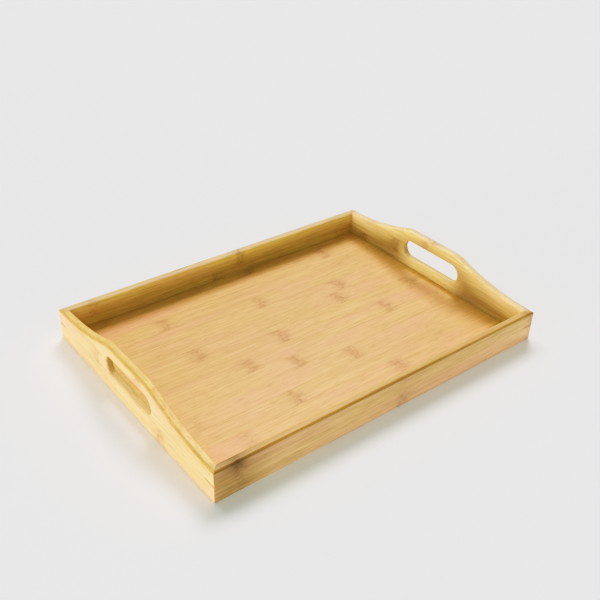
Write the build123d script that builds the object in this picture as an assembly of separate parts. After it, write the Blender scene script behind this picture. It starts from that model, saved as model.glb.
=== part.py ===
from build123d import *
import os
from math import acos, degrees, sqrt

# Bamboo serving tray: two long walls and two arched handle walls, mitred and keyed at the
# corners, with a three-ply bamboo base held in a groove round the inside.
# Millimetres, +Z up, X along the long walls, Y across the tray. The origin is the middle
# of the footprint, on the surface that the tray stands on.

# Outside of the frame
tray_length = 420.0
tray_width = 305.0
wall_height = 36.0         # long walls, and the handle walls at the corners
wall_thickness = 9.0

# Arch of the handle walls
handle_rise = 20.0         # top of the arch above the long walls
grip_flat = 68.0           # straight stretch along the top of the arch
shoulder_radius = 36.0     # convex bend where that stretch ends
corner_flat = 2.0          # level stretch beside each corner, where the arch runs out

# Hand slot
slot_length = 90.0
slot_height = 22.0
grip_depth = 14.5          # wood between the slot and the top of the arch
slot_edge_round = 3.0

# Sanded edges
rim_round = 2.5            # top edges, inside and outside
foot_round = 1.0           # bottom edges
corner_round = 1.2         # upright outside corners

# Base board and its groove
groove_lip = 3.0           # wood left under the groove
groove_depth = 4.5
board_lift_gap = 0.1       # clearance over the board, in the groove
board_edge_gap = 0.5       # room for the board to swell, at each edge
face_ply = 1.0
core_ply = 2.0

# Keys let into a saw kerf across each mitre
key_thickness = 1.8
key_middle = 19.5          # height of the key's mid-plane
key_cover = 2.8            # wood left between the key and the inside corner

# Worked out from the sizes above
half_length = tray_length / 2
half_width = tray_width / 2
handle_height = wall_height + handle_rise
board_thickness = 2 * face_ply + core_ply
board_length = tray_length - 2 * (wall_thickness - groove_depth + board_edge_gap)
board_width = tray_width - 2 * (wall_thickness - groove_depth + board_edge_gap)
slot_middle = handle_height - grip_depth - slot_height / 2
key_leg = 2 * wall_thickness - key_cover * sqrt(2)

# The arch leaves the level stretch on a long concave sweep and turns into the grip on the
# shoulder. Both arcs turn through one angle, which the run and the rise between them fix.
arch_run = half_width - corner_flat - grip_flat / 2
sweep_radius = (arch_run**2 + handle_rise**2) / (2 * handle_rise) - shoulder_radius
arch_turn = degrees(acos(1 - handle_rise / (sweep_radius + shoulder_radius)))


def upright(outline):
    """A level outline raised to the full height of the tray."""
    return extrude(outline, handle_height)


def groove_ring():
    """The space that the groove takes in all four walls, as one rectangular slab."""
    groove_height = board_thickness + board_lift_gap
    length = tray_length - 2 * (wall_thickness - groove_depth)
    width = tray_width - 2 * (wall_thickness - groove_depth)
    slab = extrude(Rectangle(length, width), groove_height)
    return Pos(0, 0, groove_lip) * slab


def corner_key(side_x, side_y):
    """A thin triangular key, flush with both outside faces of its corner."""
    corner = (side_x * half_length, side_y * half_width)
    along_x = (corner[0] - side_x * key_leg, corner[1])
    along_y = (corner[0], corner[1] - side_y * key_leg)
    triangle = make_face(Polyline(corner, along_x, along_y, close=True))
    key_bottom = key_middle - key_thickness / 2
    key = extrude(Pos(0, 0, key_bottom) * triangle, key_thickness, dir=(0, 0, 1))
    return key & envelope


def mitred(blank, wall_plan):
    """A wall blank trimmed to its mitres and rounded corners, with its groove and kerfs."""
    wall = blank & upright(wall_plan) & envelope
    wall -= groove_ring()
    for key in keys.values():
        wall -= key
    return wall


def long_wall():
    """The front wall; the back wall is its mirror image."""
    middle_y = -half_width + wall_thickness / 2
    lowest = (Align.CENTER, Align.CENTER, Align.MIN)
    blank = Pos(0, middle_y, 0) * Box(tray_length, wall_thickness, wall_height, align=lowest)
    long_edges = blank.edges().filter_by(Axis.X).group_by(Axis.Z)
    blank = fillet(long_edges[-1], rim_round)
    foot_edges = blank.edges().filter_by(Axis.X).group_by(Axis.Z)[0]
    blank = fillet(foot_edges, foot_round)
    inner_x = half_length - wall_thickness
    inner_y = -half_width + wall_thickness
    plan = Polyline(
        (-half_length, -half_width),
        (half_length, -half_width),
        (inner_x, inner_y),
        (-inner_x, inner_y),
        close=True,
    )
    return mitred(blank, make_face(plan))


def arch_outline():
    """The handle wall seen from its end: Y to the right, Z up."""
    grip_end = (grip_flat / 2, handle_height)
    shoulder = JernArc(grip_end, (1, 0), shoulder_radius, -arch_turn)
    sweep = JernArc(shoulder @ 1, shoulder % 1, sweep_radius, arch_turn)
    side = Polyline(sweep @ 1, (half_width, wall_height), (half_width, 0), (0, 0))
    half = Line((0, handle_height), grip_end) + shoulder + sweep + side
    return make_face(half + mirror(half, Plane.YZ))


def handle_wall():
    """The left handle wall; the right one is its mirror image."""
    outer_face = Plane.YZ.offset(-half_length)
    blank = extrude(outer_face * arch_outline(), wall_thickness)
    rim_edges = blank.faces().filter_by(Axis.X).edges().filter_by(Axis.Z, reverse=True)
    rim_edges = rim_edges.filter_by(lambda edge: edge.center().Z > wall_height / 2)
    blank = fillet(rim_edges, rim_round)
    foot_edges = blank.edges().filter_by(Axis.Y).group_by(Axis.Z)[0]
    blank = fillet(foot_edges, foot_round)
    slot = Pos(0, slot_middle) * SlotOverall(slot_length, slot_height)
    blank -= extrude(outer_face * slot, wall_thickness)
    slot_mouths = [face.inner_wires()[0] for face in blank.faces().filter_by(Axis.X)]
    blank = fillet([edge for mouth in slot_mouths for edge in mouth.edges()], slot_edge_round)
    inner_x = -half_length + wall_thickness
    inner_y = half_width - wall_thickness
    plan = Polyline(
        (-half_length, -half_width),
        (-half_length, half_width),
        (inner_x, inner_y),
        (inner_x, -inner_y),
        close=True,
    )
    return mitred(blank, make_face(plan))


def ply(bottom, thickness):
    """One ply of the base board."""
    return Pos(0, 0, bottom) * extrude(Rectangle(board_length, board_width), thickness)


envelope = upright(RectangleRounded(tray_length, tray_width, corner_round))

keys = {}
for end_name, side_y in (("front", -1), ("back", 1)):
    for side_name, side_x in (("left", -1), ("right", 1)):
        keys[f"{end_name}_{side_name}_corner_key"] = corner_key(side_x, side_y)

front_wall = long_wall()
left_handle_wall = handle_wall()

nodes = {
    "front_wall": front_wall,
    "back_wall": mirror(front_wall, Plane.XZ),
    "left_handle_wall": left_handle_wall,
    "right_handle_wall": mirror(left_handle_wall, Plane.YZ),
    "base_bottom_ply": ply(groove_lip, face_ply),
    "base_core_ply": ply(groove_lip + face_ply, core_ply),
    "base_top_ply": ply(groove_lip + face_ply + core_ply, face_ply),
    **keys,
}

os.makedirs("parts", exist_ok=True)
for name, shape in nodes.items():
    export_step(shape, f"parts/{name}.step")
    print(name, round(shape.volume), "mm3")
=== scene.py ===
from math import acos, cos, exp, pi, radians, sin

import bmesh
import bpy
from mathutils import Matrix, Vector


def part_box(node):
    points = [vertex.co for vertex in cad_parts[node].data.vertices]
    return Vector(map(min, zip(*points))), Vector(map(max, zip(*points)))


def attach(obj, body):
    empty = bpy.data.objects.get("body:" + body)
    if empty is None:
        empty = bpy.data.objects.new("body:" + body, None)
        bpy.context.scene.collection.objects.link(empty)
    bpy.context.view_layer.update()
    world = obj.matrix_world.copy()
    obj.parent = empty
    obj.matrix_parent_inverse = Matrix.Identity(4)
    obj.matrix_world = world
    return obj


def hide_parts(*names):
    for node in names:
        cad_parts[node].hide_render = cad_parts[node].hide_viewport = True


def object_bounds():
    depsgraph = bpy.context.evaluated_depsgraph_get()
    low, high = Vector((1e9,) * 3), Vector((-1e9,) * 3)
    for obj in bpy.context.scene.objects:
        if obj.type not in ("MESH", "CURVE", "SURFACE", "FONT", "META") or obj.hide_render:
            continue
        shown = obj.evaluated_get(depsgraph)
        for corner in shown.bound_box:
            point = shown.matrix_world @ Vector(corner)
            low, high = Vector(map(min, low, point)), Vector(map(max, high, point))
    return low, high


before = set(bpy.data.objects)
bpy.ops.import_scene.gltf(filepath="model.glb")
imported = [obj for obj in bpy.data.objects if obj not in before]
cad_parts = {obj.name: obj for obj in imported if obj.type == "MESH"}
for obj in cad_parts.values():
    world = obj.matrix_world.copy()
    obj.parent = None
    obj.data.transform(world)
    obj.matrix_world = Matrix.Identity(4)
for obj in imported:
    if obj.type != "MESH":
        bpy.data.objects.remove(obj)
cadLow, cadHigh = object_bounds()
mm = 0.001
hair = 0.001 * mm   # two points closer than this are the same point
close = 0.01 * mm   # and two sizes closer than this are level with each other
print("frame loaded:", len(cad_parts), "parts")


# camera
lookout = {
    "place": (-0.47464, -0.58499, 0.53836),
    "heading": -39.076,   # degrees, from looking along +Y
    "tilt": 57.020,       # degrees, from looking straight down
    "roll": 2.087,
    "lens": 49.844,
    "sensor": 36.0,
}
lens = bpy.data.cameras.new("trayCamera")
lens.lens, lens.sensor_width = lookout["lens"], lookout["sensor"]
lens.clip_start, lens.clip_end = 0.05, 60.0
cameraObject = bpy.data.objects.new("trayCamera", lens)
bpy.context.scene.collection.objects.link(cameraObject)
cameraObject.matrix_world = (
    Matrix.Translation(lookout["place"])
    @ Matrix.Rotation(radians(lookout["heading"]), 4, "Z")
    @ Matrix.Rotation(radians(lookout["tilt"]), 4, "X")
    @ Matrix.Rotation(radians(lookout["roll"]), 4, "Z")
)
bpy.context.scene.camera = cameraObject
print("camera set")


class Wire:
    # wraps one socket of a material or a world; sums on it add Math nodes
    def __init__(self, tree, socket=None):
        self.tree = tree
        self.socket = socket

    def node(self, kind, settings, sockets, output=0):
        made = self.tree.nodes.new(kind)
        for name, value in settings.items():
            if name == "stops":
                ramp = made.color_ramp
                while len(ramp.elements) < len(value):
                    ramp.elements.new(0.5)
                for stop, (place, colour) in zip(ramp.elements, value):
                    stop.position = place
                    stop.color = colour
            elif name == "interpolation":
                made.color_ramp.interpolation = value
            else:
                setattr(made, name, value)
        for key, value in sockets.items():
            if isinstance(value, Wire):
                self.tree.links.new(value.socket, made.inputs[key])
            else:
                made.inputs[key].default_value = value
        return Wire(self.tree, made.outputs[output]) if made.outputs else made

    def outputs(self):
        return [Wire(self.tree, socket) for socket in self.socket.node.outputs]

    def maths(self, operation, *values, **settings):
        settings["operation"] = operation
        return self.node("ShaderNodeMath", settings, dict(enumerate(values)))

    def __add__(self, other):
        return self.maths("ADD", self, other)

    def __radd__(self, other):
        return self.maths("ADD", other, self)

    def __sub__(self, other):
        return self.maths("SUBTRACT", self, other)

    def __rsub__(self, other):
        return self.maths("SUBTRACT", other, self)

    def __mul__(self, other):
        return self.maths("MULTIPLY", self, other)

    def __rmul__(self, other):
        return self.maths("MULTIPLY", other, self)

    def __truediv__(self, other):
        return self.maths("DIVIDE", self, other)

    def floor(self):
        return self.maths("FLOOR", self)

    def bell(self, width):
        # 1 at zero, fading to nothing a little beyond the width on both sides
        return self.maths("EXPONENT", (self / width) * (self / width) * -1.0)

    def between(self, low, high):
        return self.node(
            "ShaderNodeMapRange",
            {"interpolation_type": "SMOOTHSTEP"},
            {"Value": self, "From Min": low, "From Max": high},
        )

    def spot(self, x, y, z):
        return self.node("ShaderNodeCombineXYZ", {}, {0: x, 1: y, 2: z})

    def noise(self, x, y, z, detail, roughness=0.5):
        return self.node(
            "ShaderNodeTexNoise",
            {"noise_dimensions": "3D"},
            {"Vector": self.spot(x, y, z), "Scale": 1.0, "Detail": detail, "Roughness": roughness},
        )

    def blend(self, first, second, factor, mode="MIX"):
        # a Mix node set to colours has its factor at 0, its colours at 6 and 7 and its result at 2
        colours = [value if isinstance(value, Wire) else (*value, 1.0) for value in (first, second)]
        return self.node(
            "ShaderNodeMix", {"data_type": "RGBA", "blend_type": mode},
            {0: factor, 6: colours[0], 7: colours[1]}, 2,
        )


def emptied(owner):
    # works on a material and on a world
    owner.use_nodes = True
    owner.node_tree.nodes.clear()
    return Wire(owner.node_tree)


def freshMaterial(name):
    material = bpy.data.materials.new(name)
    return material, emptied(material)


def closeMaterial(wire, surface):
    wire.node("ShaderNodeOutputMaterial", {}, {"Surface": surface})


wood = {
    "pale": (0.90, 0.585, 0.225),
    "tan": (0.66, 0.385, 0.125),
    "fibre": (0.38, 0.205, 0.055),
    "knuckle": (0.50, 0.235, 0.100),
    "rosy": (0.86, 0.470, 0.225),
    "straw": (0.82, 0.565, 0.175),
    "seam": (0.36, 0.195, 0.060),
    "darkPatch": (0.64, 0.60, 0.50),      # darker patches, multiplied over the wood, as the next one is
    # painted shade colour for the outer rounded rim of the walls, multiplied over the wood
    "rimShadeColour": (0.55, 0.49, 0.26),
    # everything below is in mm
    "knuckleGap": 195.0,               # between knuckles on one strip
    "knuckleReach": 8.5,               # stain on each side of a knuckle
    "knuckleBow": 3.5,                 # how far a knuckle hangs back at the edges of its strip
    "knuckleSway": 9.0,                # slow wander of a knuckle's line
    "lines": ((1.0, 1.1, 1.0), (-4.0, 1.4, 0.7)),   # place, half width and strength of each line
    "swirl": 7.0,                      # sideways, of the fibres close to a knuckle
    "swirlReach": 11.0,
    "drift": 5.0,                      # sideways, of the fibres over a long run
    "seamHalf": 0.224,
    "bumpDepth": 0.05,
}


def bamboo(name, grain, across, deep, firstSeam, stripWidth, strips, seed, finish, blotches=()):
    # strips: one (knuckle place in mm, tone, warmth, other) for each strip, in order across the
    # grain; knuckles come one gap apart, and every second one is only as strong as other says
    # blotches: darker patches on the wood, each (place along the grain, place across it, length, width,
    # strength), in mm
    material, wire = freshMaterial(name)
    place = wire.node("ShaderNodeTexCoord", {}, {}, "Object")
    sides = wire.node("ShaderNodeSeparateXYZ", {}, {0: place}).outputs()
    axes = {axis: side * (1 / mm) for axis, side in zip("XYZ", sides)}
    u, v, w = axes[grain], axes[across], axes[deep]

    # a ramp keeps the facts of each strip: red is the knuckle's place, over two gaps, green is
    # its tone, blue its warmth and alpha its other
    gap = wood["knuckleGap"]
    count = len(strips)
    lane = (v - firstSeam) / stripWidth
    number = lane.floor()
    withinLane = lane - number
    facts = wire.node(
        "ShaderNodeValToRGB",
        {
            "interpolation": "CONSTANT",
            "stops": [
                (index / count, ((knuckle / (2 * gap)) % 1.0, tone, warmth, other))
                for index, (knuckle, tone, warmth, other) in enumerate(strips)
            ],
        },
        {"Fac": (number + 0.5) / count},
    )
    other = facts.outputs()[1]
    knucklePlace, tone, warmth = wire.node("ShaderNodeSeparateColor", {}, {0: facts}).outputs()
    shift = number * 37.31 + seed   # moves each strip's noise well away from its neighbours'

    # knuckles: a bowed stain across the strip with dark lines in it
    sway = wire.noise(u * 0.03 + shift, v * 0.16, w * 0.16, 1.0)
    bow = (withinLane - 0.5) * (withinLane - 0.5) * (4 * wood["knuckleBow"])
    along = u - knucklePlace * (2 * gap) + (sway - 0.5) * wood["knuckleSway"] + bow
    away = wire.maths("WRAP", along, gap / 2, -gap / 2)
    second = wire.maths("WRAP", along, 1.5 * gap, -gap / 2).between(gap / 2 - 1, gap / 2 + 1)
    strength = 1.0 - second * (1.0 - other)
    patchy = wire.noise(u * 0.20 + shift, v * 0.28, w * 0.28, 2.0).between(0.30, 0.65)
    stain = away.bell(wood["knuckleReach"]) * (0.35 + 0.65 * patchy) * strength
    first, last = ((away - at).bell(half) * dark for at, half, dark in wood["lines"])
    ridge = (first + last) * patchy * strength

    # fibres run along the grain and swirl a little at a knuckle
    bend = wire.noise(u * 0.14 + shift, v * 0.22, w * 0.22, 1.0) - 0.5
    swirl = bend * away.bell(wood["swirlReach"]) * wood["swirl"]
    drift = (wire.noise(u * 0.006 + shift, v * 0.02, w * 0.02, 0.0) - 0.5) * wood["drift"]
    vv = v + swirl + drift
    fine = wire.noise(u * 0.030 + shift, vv * 1.25, w * 1.25, 3.0, 0.62)
    broad = wire.noise(u * 0.010 + shift, vv * 0.34, w * 0.34, 2.0, 0.55)
    dash = wire.noise(u * 0.055 + shift, vv * 2.3, w * 2.3, 1.0).between(0.56, 0.70)
    light = wire.noise(u * 0.040 + shift + 9.0, vv * 1.7, w * 1.7, 1.0).between(0.58, 0.74)
    cloud = wire.noise(u * 0.011 + shift + 4.0, v * 0.022, w * 0.022, 1.0)

    contrast = finish["contrast"]
    grainSum = (fine - 0.5) * (2.0 * contrast) + (broad - 0.5) * (1.35 * contrast)
    grainSum = wire.maths("ADD", grainSum + 0.42 + (0.5 - tone) * 0.9, 0.0, use_clamp=True)
    colour = wire.blend(wood["pale"], wood["tan"], grainSum)
    colour = wire.blend(colour, wood["rosy"], (cloud + warmth - 0.5).between(0.42, 0.80) * 0.62)
    colour = wire.blend(colour, wood["straw"], (1.5 - cloud - warmth).between(0.45, 0.85) * 0.42)
    colour = wire.blend(colour, wood["fibre"], dash * 0.42)
    colour = wire.blend(colour, wood["pale"], light * 0.36)
    colour = wire.blend(colour, wood["knuckle"], stain * 0.50)
    colour = wire.blend(colour, wood["fibre"], wire.maths("MINIMUM", ridge * 0.34, 0.6))
    fromMiddle = wire.maths("ABSOLUTE", withinLane - 0.5)
    seam = fromMiddle.between(0.5 - wood["seamHalf"] / stripWidth, 0.5)
    colour = wire.blend(colour, wood["seam"], seam * 0.35)
    # darker patches, multiplied over the wood where listed
    for placeU, placeV, length, width, depth in blotches:
        spot = (u - placeU).bell(length) * (v - placeV).bell(width) * (0.7 + 0.6 * broad)
        colour = wire.blend(colour, wood["darkPatch"], spot * depth, "MULTIPLY")

    if "shell" in finish:
        # walls: painted light and shade: one tint outside and one inside, standing in for how each face
        # is lit, a painted highlight on the flat of the rim and painted shade along the outer rounded
        # rim
        outside = wire.maths("ABSOLUTE", w).between(finish["shell"] - 2.0, finish["shell"] + 2.0)
        rim = wire.node("ShaderNodeAttribute", {"attribute_name": "edgeShade"}, {}, "Fac")
        crown = wire.node("ShaderNodeAttribute", {"attribute_name": "crown"}, {}, "Fac")
        # painted light: inner and outer faces and the rim's flat get their own tints for how light
        # falls on them
        tint = wire.blend(finish["innerTint"], finish["tint"], wire.maths("MAXIMUM", outside, crown))
        colour = wire.blend(colour, tint, 1.0, "MULTIPLY")
        # painted highlight on the flat of the rim
        colour = wire.blend(colour, finish["crownTint"], crown, "MULTIPLY")
        # painted shade along the outer rounded rim, as strong as each side's rimShade
        paintedRimShade = rim * finish["rimShade"] * (0.75 + 0.5 * broad)
        colour = wire.blend(colour, wood["rimShadeColour"], paintedRimShade, "MULTIPLY")
    else:
        colour = wire.blend(colour, finish["tint"], 1.0, "MULTIPLY")
    if "border" in finish:
        # painted shade: the floor turns darker and olive where it meets the walls
        border = finish["border"]
        fromEnd = border["length"] - wire.maths("ABSOLUTE", u)
        fromSide = border["width"] - wire.maths("ABSOLUTE", v)
        inland = wire.maths("MINIMUM", fromEnd, fromSide).between(0.0, border["reach"])
        colour = wire.blend(colour, border["tint"], 1.0 - inland, "MULTIPLY")

    roughness = finish["gloss"] + (fine - 0.5) * 0.16 + dash * 0.05 + stain * 0.05
    height = fine * 0.5 - dash * 0.35 - ridge * 0.3 - seam * 0.4
    bump = wire.node(
        "ShaderNodeBump", {},
        {"Strength": 0.35, "Distance": wood["bumpDepth"] * mm, "Height": height},
    )
    surface = wire.node(
        "ShaderNodeBsdfPrincipled", {},
        {
            "Base Color": colour, "Roughness": roughness, "Normal": bump, "IOR": 1.5,
            "Coat Weight": finish["coat"], "Coat Roughness": 0.22, "Coat IOR": 1.5,
        },
    )
    closeMaterial(wire, surface)
    return material


# shaping helpers
def runTo(bm, vert, x, z):
    grown = bmesh.ops.extrude_vert_indiv(bm, verts=[vert])["verts"][0]
    grown.co = (x, 0, z)
    return grown


def turnTo(bm, vert, x, z, turn, steps):
    made = bmesh.ops.spin(
        bm, geom=[vert], cent=(x, 0, z), axis=(0, 1, 0), angle=turn, steps=steps,
        use_merge=False, use_duplicate=False,
    )
    return made["geom_last"][0]


def roundOff(bm, edges, size, steps):
    bmesh.ops.bevel(
        bm, geom=edges, offset=size, offset_type="OFFSET", segments=steps, profile=0.5,
        affect="EDGES", clamp_overlap=True, material=-1,
    )


def everything(bm):
    return bm.verts[:] + bm.edges[:] + bm.faces[:]


def onlyEdges(items):
    return [item for item in items if isinstance(item, bmesh.types.BMEdge)]


def grow(bm, faces, step):
    # extrudes faces and moves their far side by the step
    grown = bmesh.ops.extrude_face_region(bm, geom=faces)
    moved = [item for item in grown["geom"] if isinstance(item, bmesh.types.BMVert)]
    bmesh.ops.translate(bm, vec=step, verts=moved)


def withParts(faces):
    # faces with their own edges and corners, each once and in a fixed order
    edges = dict.fromkeys(edge for face in faces for edge in face.edges)
    verts = dict.fromkeys(vert for face in faces for vert in face.verts)
    return [*faces, *edges, *verts]


def split(bm, faces, point, normal):
    bmesh.ops.bisect_plane(bm, geom=withParts(faces), dist=hair, plane_co=point, plane_no=normal)


def sliceOff(bm, point, normal):
    cut = bmesh.ops.bisect_plane(
        bm, geom=everything(bm), dist=hair, plane_co=point, plane_no=normal, clear_outer=True
    )
    bmesh.ops.edgeloop_fill(bm, edges=onlyEdges(cut["geom_cut"]))


def near(a, b):
    return abs(a - b) < close


def outlineEdges(bm, test):
    # sharp edges of the two broad faces whose ends both pass the test
    found = []
    for edge in bm.edges:
        first, second = (vert.co for vert in edge.verts)
        if near(first.y, second.y) and edge.calc_face_angle(0) > radians(50):
            if test(first) and test(second):
                found.append(edge)
    return found


def makePiece(name, bm, material, node):
    bmesh.ops.recalc_face_normals(bm, faces=bm.faces[:])
    mesh = bpy.data.meshes.new(name)
    bm.to_mesh(mesh)
    bm.free()
    mesh.shade_smooth()
    mesh.set_sharp_from_angle(angle=radians(32))
    mesh.materials.append(material)
    piece = bpy.data.objects.new(name, mesh)
    bpy.context.scene.collection.objects.link(piece)
    weighted = piece.modifiers.new("evenShading", "WEIGHTED_NORMAL")
    weighted.keep_sharp = True
    weighted.weight = 60
    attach(piece, "root")
    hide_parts(node)
    return piece


# walls, each made lying along X with its outer face on y = 0
frontLow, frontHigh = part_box("front_wall")
leftLow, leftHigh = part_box("left_handle_wall")
keyLow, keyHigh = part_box("front_left_corner_key")

walls = {
    "thick": frontHigh.y - frontLow.y,
    "top": frontHigh.z,
    "rimRound": 2.5 * mm,
    "rimSteps": 7,
    "footRound": 1.0 * mm,
    "footSteps": 3,
    "cornerRound": 1.2 * mm,
    "cornerFacets": (247.5, 225.0),   # degrees, the second one square to the mitre
    "mitreEase": 0.25 * mm,
    "grooveDepth": 4.5 * mm,
    "grooveLow": 3.0 * mm,
    "grooveTop": 7.1 * mm,
    "grooveEase": 0.25 * mm,
    "spare": 6.0 * mm,        # extra length, cut away by the mitres
    "shadeAbove": 30.0 * mm,  # height from which a surface counts as rim
}
arch = {
    "top": leftHigh.z,
    "flat": 68.0 * mm,
    "shoulder": 36.0 * mm,
    "shoulderSteps": 8,
    "sweepSteps": 26,
    "cornerFlat": 2.0 * mm,
    "slotLength": 90.0 * mm,
    "slotHeight": 22.0 * mm,
    "slotMiddle": 30.5 * mm,
    "slotSteps": 28,
    "slotRound": 3.0 * mm,
    "slotRoundSteps": 7,
    "slotClear": 0.2 * mm,    # an edge further than this from the slot's round isn't the slot's
}
keys = {
    "leg": keyHigh.x - keyLow.x,
    "low": keyLow.z,
    "high": keyHigh.z,
    "ease": 0.07 * mm,
}


def halfWall(halfLength, arched):
    # one half of a wall's outline, from the middle of its top edge round to its foot
    bm = bmesh.new()
    reach = halfLength + walls["spare"]
    if arched:
        start = bm.verts.new((0, 0, arch["top"]))
        bend = runTo(bm, start, arch["flat"] / 2, arch["top"])
        rise = arch["top"] - walls["top"]
        run = halfLength - arch["cornerFlat"] - arch["flat"] / 2
        both = (run * run + rise * rise) / (2 * rise)   # shoulder and sweep radius together
        turn = acos(1 - rise / both)
        middle = arch["top"] - arch["shoulder"]
        bend = turnTo(bm, bend, arch["flat"] / 2, middle, turn, arch["shoulderSteps"])
        sweepX = arch["flat"] / 2 + both * sin(turn)
        sweepZ = middle + both * cos(turn)
        bend = turnTo(bm, bend, sweepX, sweepZ, -turn, arch["sweepSteps"])
        end = runTo(bm, bend, reach, walls["top"])
    else:
        start = bm.verts.new((0, 0, walls["top"]))
        end = runTo(bm, start, reach, walls["top"])
    end = runTo(bm, runTo(bm, end, reach, 0), 0, 0)
    if arched:
        slotEnd = arch["slotLength"] / 2 - arch["slotHeight"] / 2
        lower = arch["slotMiddle"] - arch["slotHeight"] / 2
        upper = arch["slotMiddle"] + arch["slotHeight"] / 2
        end = runTo(bm, runTo(bm, end, 0, lower), slotEnd, lower)
        end = turnTo(bm, end, slotEnd, arch["slotMiddle"], -pi, arch["slotSteps"])
        end = runTo(bm, end, 0, upper)
    runTo(bm, end, 0, start.co.z)
    bmesh.ops.remove_doubles(bm, verts=bm.verts[:], dist=hair)
    bmesh.ops.edgeloop_fill(bm, edges=bm.edges[:])
    return bm


def carveKerf(bm, halfLength, side):
    # a thin triangular pocket across the corner, in which half of the key is glued
    point = Vector((side * (halfLength - keys["leg"]), 0, 0))
    normal = Vector((side, -1, 0)).normalized()
    upright = [face for face in bm.faces if abs(face.normal.z) < 0.001]
    split(bm, upright, point, normal)
    for level in (keys["low"], keys["high"]):
        corner = [
            face for face in bm.faces
            if abs(face.normal.z) < 0.001 and (face.calc_center_median() - point).dot(normal) > 0
        ]
        split(bm, corner, (0, 0, level), (0, 0, 1))
    mouth = []
    for face in bm.faces:
        centre = face.calc_center_median()
        if (centre - point).dot(normal) > 0 and keys["low"] < centre.z < keys["high"]:
            mouth.append(face)
    bmesh.ops.delete(bm, geom=mouth, context="FACES")
    for level in (keys["low"], keys["high"]):
        rim = [
            edge for edge in bm.edges
            if edge.is_boundary and all(near(vert.co.z, level) for vert in edge.verts)
        ]
        ends = dict.fromkeys(
            vert for edge in rim for vert in edge.verts
            if abs((vert.co - point).dot(normal)) < close
        )
        bmesh.ops.edgeloop_fill(bm, edges=rim + [bm.edges.new(tuple(ends))])
    back = [edge for edge in bm.edges if edge.is_boundary]
    bmesh.ops.edgeloop_fill(bm, edges=back)


def makeWall(name, node, halfLength, arched, turned, outward, material):
    thick = walls["thick"]
    bm = halfWall(halfLength, arched)
    grow(bm, bm.faces[:], (0, thick, 0))
    middle = [face for face in bm.faces if all(near(vert.co.x, 0) for vert in face.verts)]
    bmesh.ops.delete(bm, geom=middle, context="FACES")
    bmesh.ops.mirror(bm, geom=everything(bm), axis="X", merge_dist=hair)
    bmesh.ops.recalc_face_normals(bm, faces=bm.faces[:])

    def bySlot(co, margin):
        wide = arch["slotLength"] / 2 + margin
        high = arch["slotHeight"] / 2 + margin
        return arched and abs(co.x) <= wide and abs(co.z - arch["slotMiddle"]) <= high

    slotEdges = outlineEdges(bm, lambda co: bySlot(co, hair))
    roundOff(bm, slotEdges, arch["slotRound"], arch["slotRoundSteps"])
    rim = outlineEdges(
        bm,
        lambda co: co.z > walls["top"] - hair and not bySlot(co, arch["slotRound"] + arch["slotClear"]),
    )
    roundOff(bm, rim, walls["rimRound"], walls["rimSteps"])
    roundOff(bm, outlineEdges(bm, lambda co: near(co.z, 0)), walls["footRound"], walls["footSteps"])

    # groove for the base board, in the inner face
    for level in (walls["grooveLow"], walls["grooveTop"]):
        inner = [face for face in bm.faces if all(near(vert.co.y, thick) for vert in face.verts)]
        split(bm, inner, (0, 0, level), (0, 0, 1))
    strip = [
        face for face in bm.faces
        if all(near(vert.co.y, thick) for vert in face.verts)
        and walls["grooveLow"] < face.calc_center_median().z < walls["grooveTop"]
    ]
    grow(bm, withParts(strip), (0, -walls["grooveDepth"], 0))
    bmesh.ops.recalc_face_normals(bm, faces=bm.faces[:])
    lips = outlineEdges(
        bm,
        lambda co: near(co.y, thick)
        and (near(co.z, walls["grooveLow"]) or near(co.z, walls["grooveTop"])),
    )
    lips = [edge for edge in lips if near(edge.verts[0].co.z, edge.verts[1].co.z)]
    roundOff(bm, lips, walls["grooveEase"], 2)

    # mitres, rounded upright corners and the kerfs for the keys
    for side in (-1, 1):
        sliceOff(bm, (side * halfLength, 0, 0), Vector((side, 1, 0)).normalized())
        for angle in walls["cornerFacets"]:
            away = Vector((-side * cos(radians(angle)), sin(radians(angle)), 0))
            centre = Vector((side * (halfLength - walls["cornerRound"]), walls["cornerRound"], 0))
            sliceOff(bm, centre + away * walls["cornerRound"], away)
    bmesh.ops.recalc_face_normals(bm, faces=bm.faces[:])
    joints = {}
    for face in bm.faces:
        x, y, z = face.normal
        if abs(z) < 0.001 and near(abs(x), y) and y > 0.5:
            joints.update(dict.fromkeys(face.edges))
    roundOff(bm, list(joints), walls["mitreEase"], 2)
    bmesh.ops.recalc_face_normals(bm, faces=bm.faces[:])
    for side in (-1, 1):
        carveKerf(bm, halfLength, side)

    bmesh.ops.dissolve_degenerate(bm, dist=close, edges=bm.edges[:])

    # two values for the material: crown is 1 on the flat of the rim, where a painted highlight goes,
    # edgeShade on its outer round, where painted shade goes
    edgeShade = bm.verts.layers.float.new("edgeShade")
    crown = bm.verts.layers.float.new("crown")
    bm.normal_update()
    for vert in bm.verts:
        out, up = -vert.normal.y, vert.normal.z
        if vert.co.z > walls["shadeAbove"] and up > 0:
            outer = max(0.0, 1.0 - vert.co.y / walls["rimRound"])
            vert[edgeShade] = max(outer, min(1.0, 3.5 * out)) * min(1.0, 5 * up)
            vert[crown] = max(0.0, min(1.0, 2 * up - 0.6))

    place = Matrix.Rotation(radians(turned), 4, "Z") @ Matrix.Translation((0, -outward, 0))
    bmesh.ops.transform(bm, matrix=place, verts=bm.verts[:])
    return makePiece(name, bm, material, node)


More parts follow.
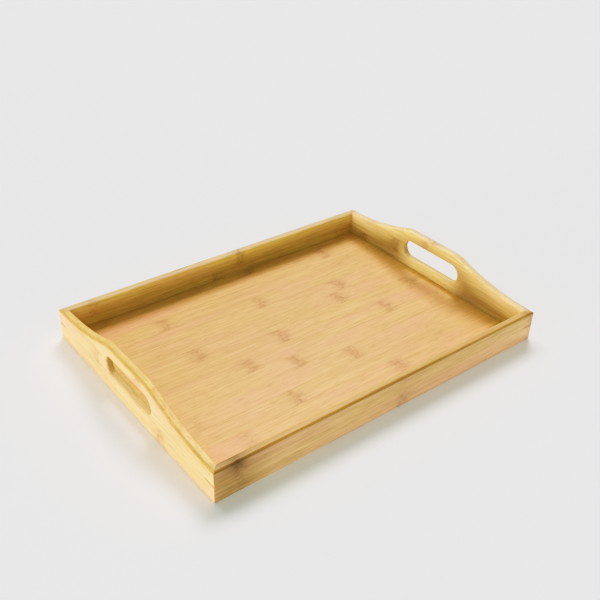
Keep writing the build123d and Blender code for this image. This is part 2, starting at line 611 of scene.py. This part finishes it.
longHalf, shortHalf = cadHigh.x, cadHigh.y
wallFinish = {
    "gloss": 0.50, "coat": 0.08, "contrast": 1.3,
    "strip": 18.0,   # mm, height of one strip
    # inner faces tinted as painted shade of the inside of the tray
    "innerTint": (0.97, 1.09, 1.18),
}
# each side's tint, inner tint, crown tint and rim shade are painted light and shade for how light falls
# on that side: paler outer faces stand in for a painted reflection, the crown tint is a painted
# highlight; the strips are the wood's own
wallLooks = {
    "front": {
        "axes": "XZY", "tint": (0.97, 0.985, 1.55), "crownTint": (1.24, 1.18, 0.84),
        "rimShade": 1.0, "strips": [(15, 0.50, 0.55, 0.5), (-183, 0.42, 0.55, 0.2)],
        "blotches": [(-192, 20, 34, 40, 1.0), (-185, 32, 9, 5, 1.0)],
    },
    "back": {
        "axes": "XZY", "tint": (1.0, 1.0, 1.1), "crownTint": (1.22, 1.38, 2.10),
        "rimShade": 0.12, "strips": [(-12, 0.48, 0.45, 0.3), (22, 0.45, 0.45, 0.6)],
    },
    "left": {
        "axes": "YZX", "tint": (1.08, 1.09, 1.62), "crownTint": (1.20, 1.18, 0.95),
        "rimShade": 0.7,
        "strips": [
            (-60, 0.62, 0.45, 0.0), (66, 0.58, 0.40, 0.0), (-20, 0.5, 0.4, 0.3), (70, 0.5, 0.4, 0.3),
        ],
    },
    "right": {
        "axes": "YZX", "innerTint": (1.05, 1.22, 1.75), "tint": (1.0, 1.0, 1.1),
        "crownTint": (1.18, 1.31, 1.90), "rimShade": 0.12,
        "strips": [
            (120, 0.50, 0.45, 0.2), (60, 0.52, 0.45, 0.2), (10, 0.5, 0.4, 0.2), (0, 0.5, 0.4, 0.3),
        ],
    },
}
longWall = (longHalf, False, shortHalf, "long_wall_bamboo")
handleWall = (shortHalf, True, longHalf, "handle_wall_bamboo")
wallPlan = (
    # name, node, side of the tray, turn in degrees, half length, arched, distance out, slot
    ("frontWall", "front_wall", "front", 0, *longWall),
    ("backWall", "back_wall", "back", 180, *longWall),
    ("leftHandleWall", "left_handle_wall", "left", -90, *handleWall),
    ("rightHandleWall", "right_handle_wall", "right", 90, *handleWall),
)
for number, (name, node, side, turned, half, arched, outward, slot) in enumerate(wallPlan):
    look = {**wallFinish, **wallLooks[side], "shell": (outward - walls["thick"] / 2) / mm}
    timber = bamboo(
        side + "WallBamboo", *look["axes"], 0.0, look["strip"], look["strips"],
        211.0 + 53.0 * number, look, look.get("blotches", ()),
    )
    piece = makeWall(name, node, half, arched, turned, outward, timber)
    print("wall made:", name, len(piece.data.polygons), "faces")


# keys across the corners
def makeKey(name, node, turned, corner, material):
    bm = bmesh.new()
    leg, radius = keys["leg"], walls["cornerRound"]
    for x, y in ((0, 0), (leg, 0), (0, leg)):
        bm.verts.new((x, y, keys["low"]))
    bmesh.ops.contextual_create(bm, geom=bm.verts[:])
    grow(bm, bm.faces[:], (0, 0, keys["high"] - keys["low"]))
    for angle in (202.5, 225.0, 247.5):
        away = Vector((cos(radians(angle)), sin(radians(angle)), 0))
        sliceOff(bm, Vector((radius, radius, 0)) + away * radius, away)
    bmesh.ops.recalc_face_normals(bm, faces=bm.faces[:])
    level = [edge for edge in bm.edges if near(edge.verts[0].co.z, edge.verts[1].co.z)]
    roundOff(bm, level, keys["ease"], 1)
    place = Matrix.Translation((*corner, 0)) @ Matrix.Rotation(radians(turned), 4, "Z")
    bmesh.ops.transform(bm, matrix=place, verts=bm.verts[:])
    return makePiece(name, bm, material, node)


keyTimber = bamboo(
    "cornerKeyBamboo", *"XYZ", -160.0, 320.0, [(390, 0.3, 0.6, 0.0)], 77.0,
    {"gloss": 0.50, "coat": 0.08, "contrast": 1.0, "tint": (0.72, 0.68, 0.64)},
)
keyPlan = (
    ("frontLeftKey", "front_left_corner_key", 0, (cadLow.x, cadLow.y)),
    ("frontRightKey", "front_right_corner_key", 90, (cadHigh.x, cadLow.y)),
    ("backRightKey", "back_right_corner_key", 180, (cadHigh.x, cadHigh.y)),
    ("backLeftKey", "back_left_corner_key", 270, (cadLow.x, cadHigh.y)),
)
for name, node, turned, corner in keyPlan:
    makeKey(name, node, turned, corner, keyTimber)
print("keys made")


# base board: the two face plies are laid up from strips, the core stays as it is
board = {
    "strip": 23.0,            # mm
    "firstSeam": -144.0,      # mm, seam nearest the front
    "seamHalf": 0.06 * mm,
    "seamDeep": 0.05 * mm,
    "edgeEase": 0.15 * mm,
    "topStrips": [
        (-130, 0.50, 0.50, 0.3), (52, 0.54, 0.58, 0.4), (-70, 0.56, 0.52, 0.2),
        (26, 0.55, 0.52, 0.3), (-33, 0.60, 0.46, 0.1), (-77, 0.52, 0.56, 0.9),
        (-17, 0.50, 0.50, 0.7), (84, 0.48, 0.50, 0.8), (102, 0.50, 0.48, 0.0),
        (2, 0.50, 0.50, 0.0), (-111, 0.46, 0.50, 0.0), (135, 0.48, 0.50, 0.1),
        (30, 0.46, 0.50, 0.2),
    ],
    "underStrips": [
        (-60, 0.45, 0.50, 1.0), (40, 0.50, 0.45, 0.4), (-120, 0.52, 0.55, 0.8),
        (85, 0.44, 0.50, 0.6), (-20, 0.50, 0.50, 1.0), (130, 0.54, 0.42, 0.7),
        (10, 0.46, 0.56, 0.5), (-90, 0.50, 0.50, 0.9), (60, 0.48, 0.46, 0.6),
        (-150, 0.52, 0.54, 1.0), (20, 0.45, 0.50, 0.5), (110, 0.50, 0.48, 0.8),
        (-45, 0.50, 0.50, 0.6),
    ],
}


def makePly(name, node, upper, material):
    low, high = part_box(node)
    bm = bmesh.new()
    bmesh.ops.create_cube(bm, size=1.0)
    bmesh.ops.scale(bm, vec=high - low, verts=bm.verts[:])
    bmesh.ops.translate(bm, vec=(low + high) / 2, verts=bm.verts[:])
    shown = high.z if upper else low.z
    seam = board["firstSeam"] * mm
    while seam < high.y - board["edgeEase"]:
        if seam > low.y + board["edgeEase"]:
            split(bm, bm.faces[:], (0, seam, 0), (0, 1, 0))
        seam += board["strip"] * mm
    seams = [
        edge for edge in bm.edges
        if near(edge.verts[0].co.y, edge.verts[1].co.y)
        and all(near(vert.co.z, shown) for vert in edge.verts)
        and edge.calc_face_angle(0) < 0.01
    ]
    lines = {round(edge.verts[0].co.y, 6) for edge in seams}
    roundOff(bm, seams, board["seamHalf"], 2)
    for vert in bm.verts:
        if near(vert.co.z, shown) and any(abs(vert.co.y - line) < close for line in lines):
            vert.co.z += -board["seamDeep"] if upper else board["seamDeep"]
    return makePiece(name, bm, material, node)


boardFinish = {"gloss": 0.50, "coat": 0.08, "contrast": 1.0, "tint": (1.0, 1.0, 1.0)}
# painted shade on the floor along the walls, multiplied over the wood
floorWallShade = {
    "tint": (0.93, 1.00, 0.74),
    "reach": 24.0,                                # mm
    "length": (cadHigh.x - walls["thick"]) / mm,  # from the middle to the end walls
    "width": (cadHigh.y - walls["thick"]) / mm,
}
topTimber = bamboo(
    "floorBamboo", *"XYZ", board["firstSeam"], board["strip"], board["topStrips"], 12.0,
    {**boardFinish, "contrast": 0.9, "tint": (1.10, 1.00, 1.28), "border": floorWallShade},
)
underTimber = bamboo(
    "undersideBamboo", *"XYZ", board["firstSeam"], board["strip"], board["underStrips"], 640.0,
    boardFinish,
)
coreTimber = bamboo(
    "coreBamboo", *"YXZ", -9 * board["strip"], board["strip"],
    [(41.0 * number, 0.45, 0.5, 0.8) for number in range(18)], 330.0, {**boardFinish, "coat": 0.0},
)
makePly("floorPly", "base_top_ply", True, topTimber)
makePly("undersidePly", "base_bottom_ply", False, underTimber)
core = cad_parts["base_core_ply"]
core.data.materials.clear()
core.data.materials.append(coreTimber)
print("base board made")


# table and light
table = {"size": 16.0, "glow": 0.12, "shade": 0.87}
bm = bmesh.new()
bmesh.ops.create_grid(bm, x_segments=4, y_segments=4, size=table["size"] / 2)
bmesh.ops.translate(bm, vec=(0, 0, cadLow.z - 0.05 * mm), verts=bm.verts[:])
tableMesh = bpy.data.meshes.new("tableTop")
bm.to_mesh(tableMesh)
bm.free()
tableTop = bpy.data.objects.new("tableTop", tableMesh)
bpy.context.scene.collection.objects.link(tableTop)
paleMaterial, wire = freshMaterial("paleTable")
closeMaterial(wire, wire.node(
    "ShaderNodeBsdfPrincipled", {},
    {
        "Base Color": (table["shade"], table["shade"], table["shade"], 1.0), "Roughness": 1.0,
        "Specular IOR Level": 0.0, "Emission Color": (1.0, 1.0, 1.0, 1.0),
        "Emission Strength": table["glow"],
    },
))
tableMesh.materials.append(paleMaterial)

lampWhite, cardWhite = (1.0, 0.96, 0.98), (1.0, 1.0, 1.0)
suns = {
    # name: heading from +X towards +Y, height and spread in degrees, strength, colour
    "keyLight": (47.0, 50.0, 24.0, 0.510, lampWhite),
    "backLight": (90.0, 54.0, 25.0, 0.190, lampWhite),
    "frontCard": (270.0, 1.0, 5.0, 0.480, cardWhite),
    "leftCard": (180.0, 1.0, 5.0, 1.120, cardWhite),
}
for name, (heading, height, spread, strength, colour) in suns.items():
    light = bpy.data.lights.new(name, "SUN")
    light.energy, light.angle, light.color = strength * pi, radians(spread), colour
    lamp = bpy.data.objects.new(name, light)
    bpy.context.scene.collection.objects.link(lamp)
    flat = cos(radians(height))
    towards = Vector((flat * cos(radians(heading)), flat * sin(radians(heading)), sin(radians(height))))
    lamp.rotation_euler = towards.to_track_quat("Z", "Y").to_euler()

# the dome lights the tray, and what is seen past the table has the table's own tone
studio = {"dome": (0.955, 1.0, 0.975, 1.0), "domeStrength": 0.480, "backdropStrength": 1.02}
world = bpy.data.worlds.new("studio")
bpy.context.scene.world = world
air = emptied(world)
dome = air.node(
    "ShaderNodeBackground", {}, {"Color": studio["dome"], "Strength": studio["domeStrength"]}
)
backdrop = air.node(
    "ShaderNodeBackground", {}, {"Color": (1.0, 1.0, 1.0, 1.0), "Strength": studio["backdropStrength"]}
)
seen = air.node("ShaderNodeLightPath", {}, {}, "Is Camera Ray")
sky = air.node("ShaderNodeMixShader", {}, {0: seen, 1: dome, 2: backdrop})
air.node("ShaderNodeOutputWorld", {}, {"Surface": sky})

# film response: a soft toe for each of red, green and blue, and one soft shoulder
film = {
    "white": 2.0,
    "toe": (1.66, 1.54, 1.74),
    "shoulder": 1.59,
    "points": 9,
    "crowding": 1.4,   # above 1, the points crowd towards black
}


def filmTone(level, toe):
    return 1 - exp(-film["shoulder"] * (level * film["white"]) ** toe)


view = bpy.context.scene.view_settings
view.view_transform = "Standard"
view.use_curve_mapping = True
response = view.curve_mapping
response.white_level = (film["white"],) * 3
for curve, toe in zip(response.curves, film["toe"]):
    for index in range(1, film["points"]):
        level = (index / film["points"]) ** film["crowding"]
        curve.points.new(level, filmTone(level, toe))
    curve.points[-1].location = (1.0, filmTone(1.0, toe))
response.update()
print("table and lights set")
